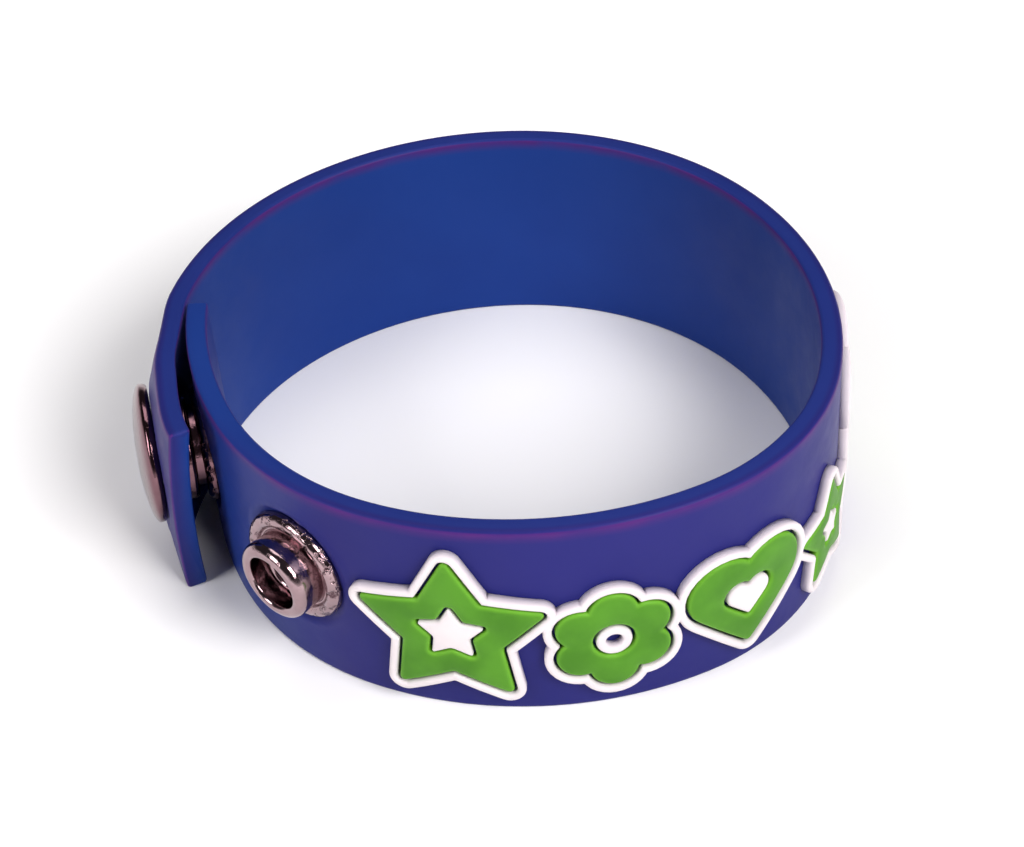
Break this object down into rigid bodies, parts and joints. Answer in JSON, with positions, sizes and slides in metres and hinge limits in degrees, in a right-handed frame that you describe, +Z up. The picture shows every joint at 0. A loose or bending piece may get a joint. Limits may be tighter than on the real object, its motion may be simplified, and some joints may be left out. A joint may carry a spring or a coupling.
{
  "type": "pvc snap bracelet",
  "caption": "Soft PVC wristband closed into a loop by a metal ring snap, with a spare stud and raised star, flower and heart shapes round its front.",
  "frame": {"origin": "on the floor plane, under the middle of the whole bracelet", "axes": "+Z up along the wrist axis, across the strap's width; -Y towards the front of the bracelet, with the snap closure at -X and the raised shapes round the front and right"},
  "size_m": [0.0624, 0.057, 0.02],
  "materials": {
    "pvc_blue": "satin",
    "pvc_white": "satin",
    "pvc_green": "satin",
    "nickel": "polished"
  },
  "bodies": {
    "root": {"island_flower_2": "pvc_white", "island_flower_5": "pvc_white", "island_flower_8": "pvc_white", "island_heart_3": "pvc_white", "island_heart_6": "pvc_white", "island_star_1": "pvc_white", "island_star_4": "pvc_white", "island_star_7": "pvc_white", "motif_flower_2": "pvc_green", "motif_flower_5": "pvc_green", "motif_flower_8": "pvc_green", "motif_heart_3": "pvc_green", "motif_heart_6": "pvc_green", "motif_star_1": "pvc_green", "motif_star_4": "pvc_green", "motif_star_7": "pvc_green", "relief_border_first": "pvc_white", "relief_border_second": "pvc_white", "snap_cap": "nickel", "snap_post_fastened": "nickel", "snap_post_free": "nickel", "snap_socket": "nickel", "snap_stud_fastened": "nickel", "snap_stud_free": "nickel", "strap": "pvc_blue"}
  },
  "joints": []
}
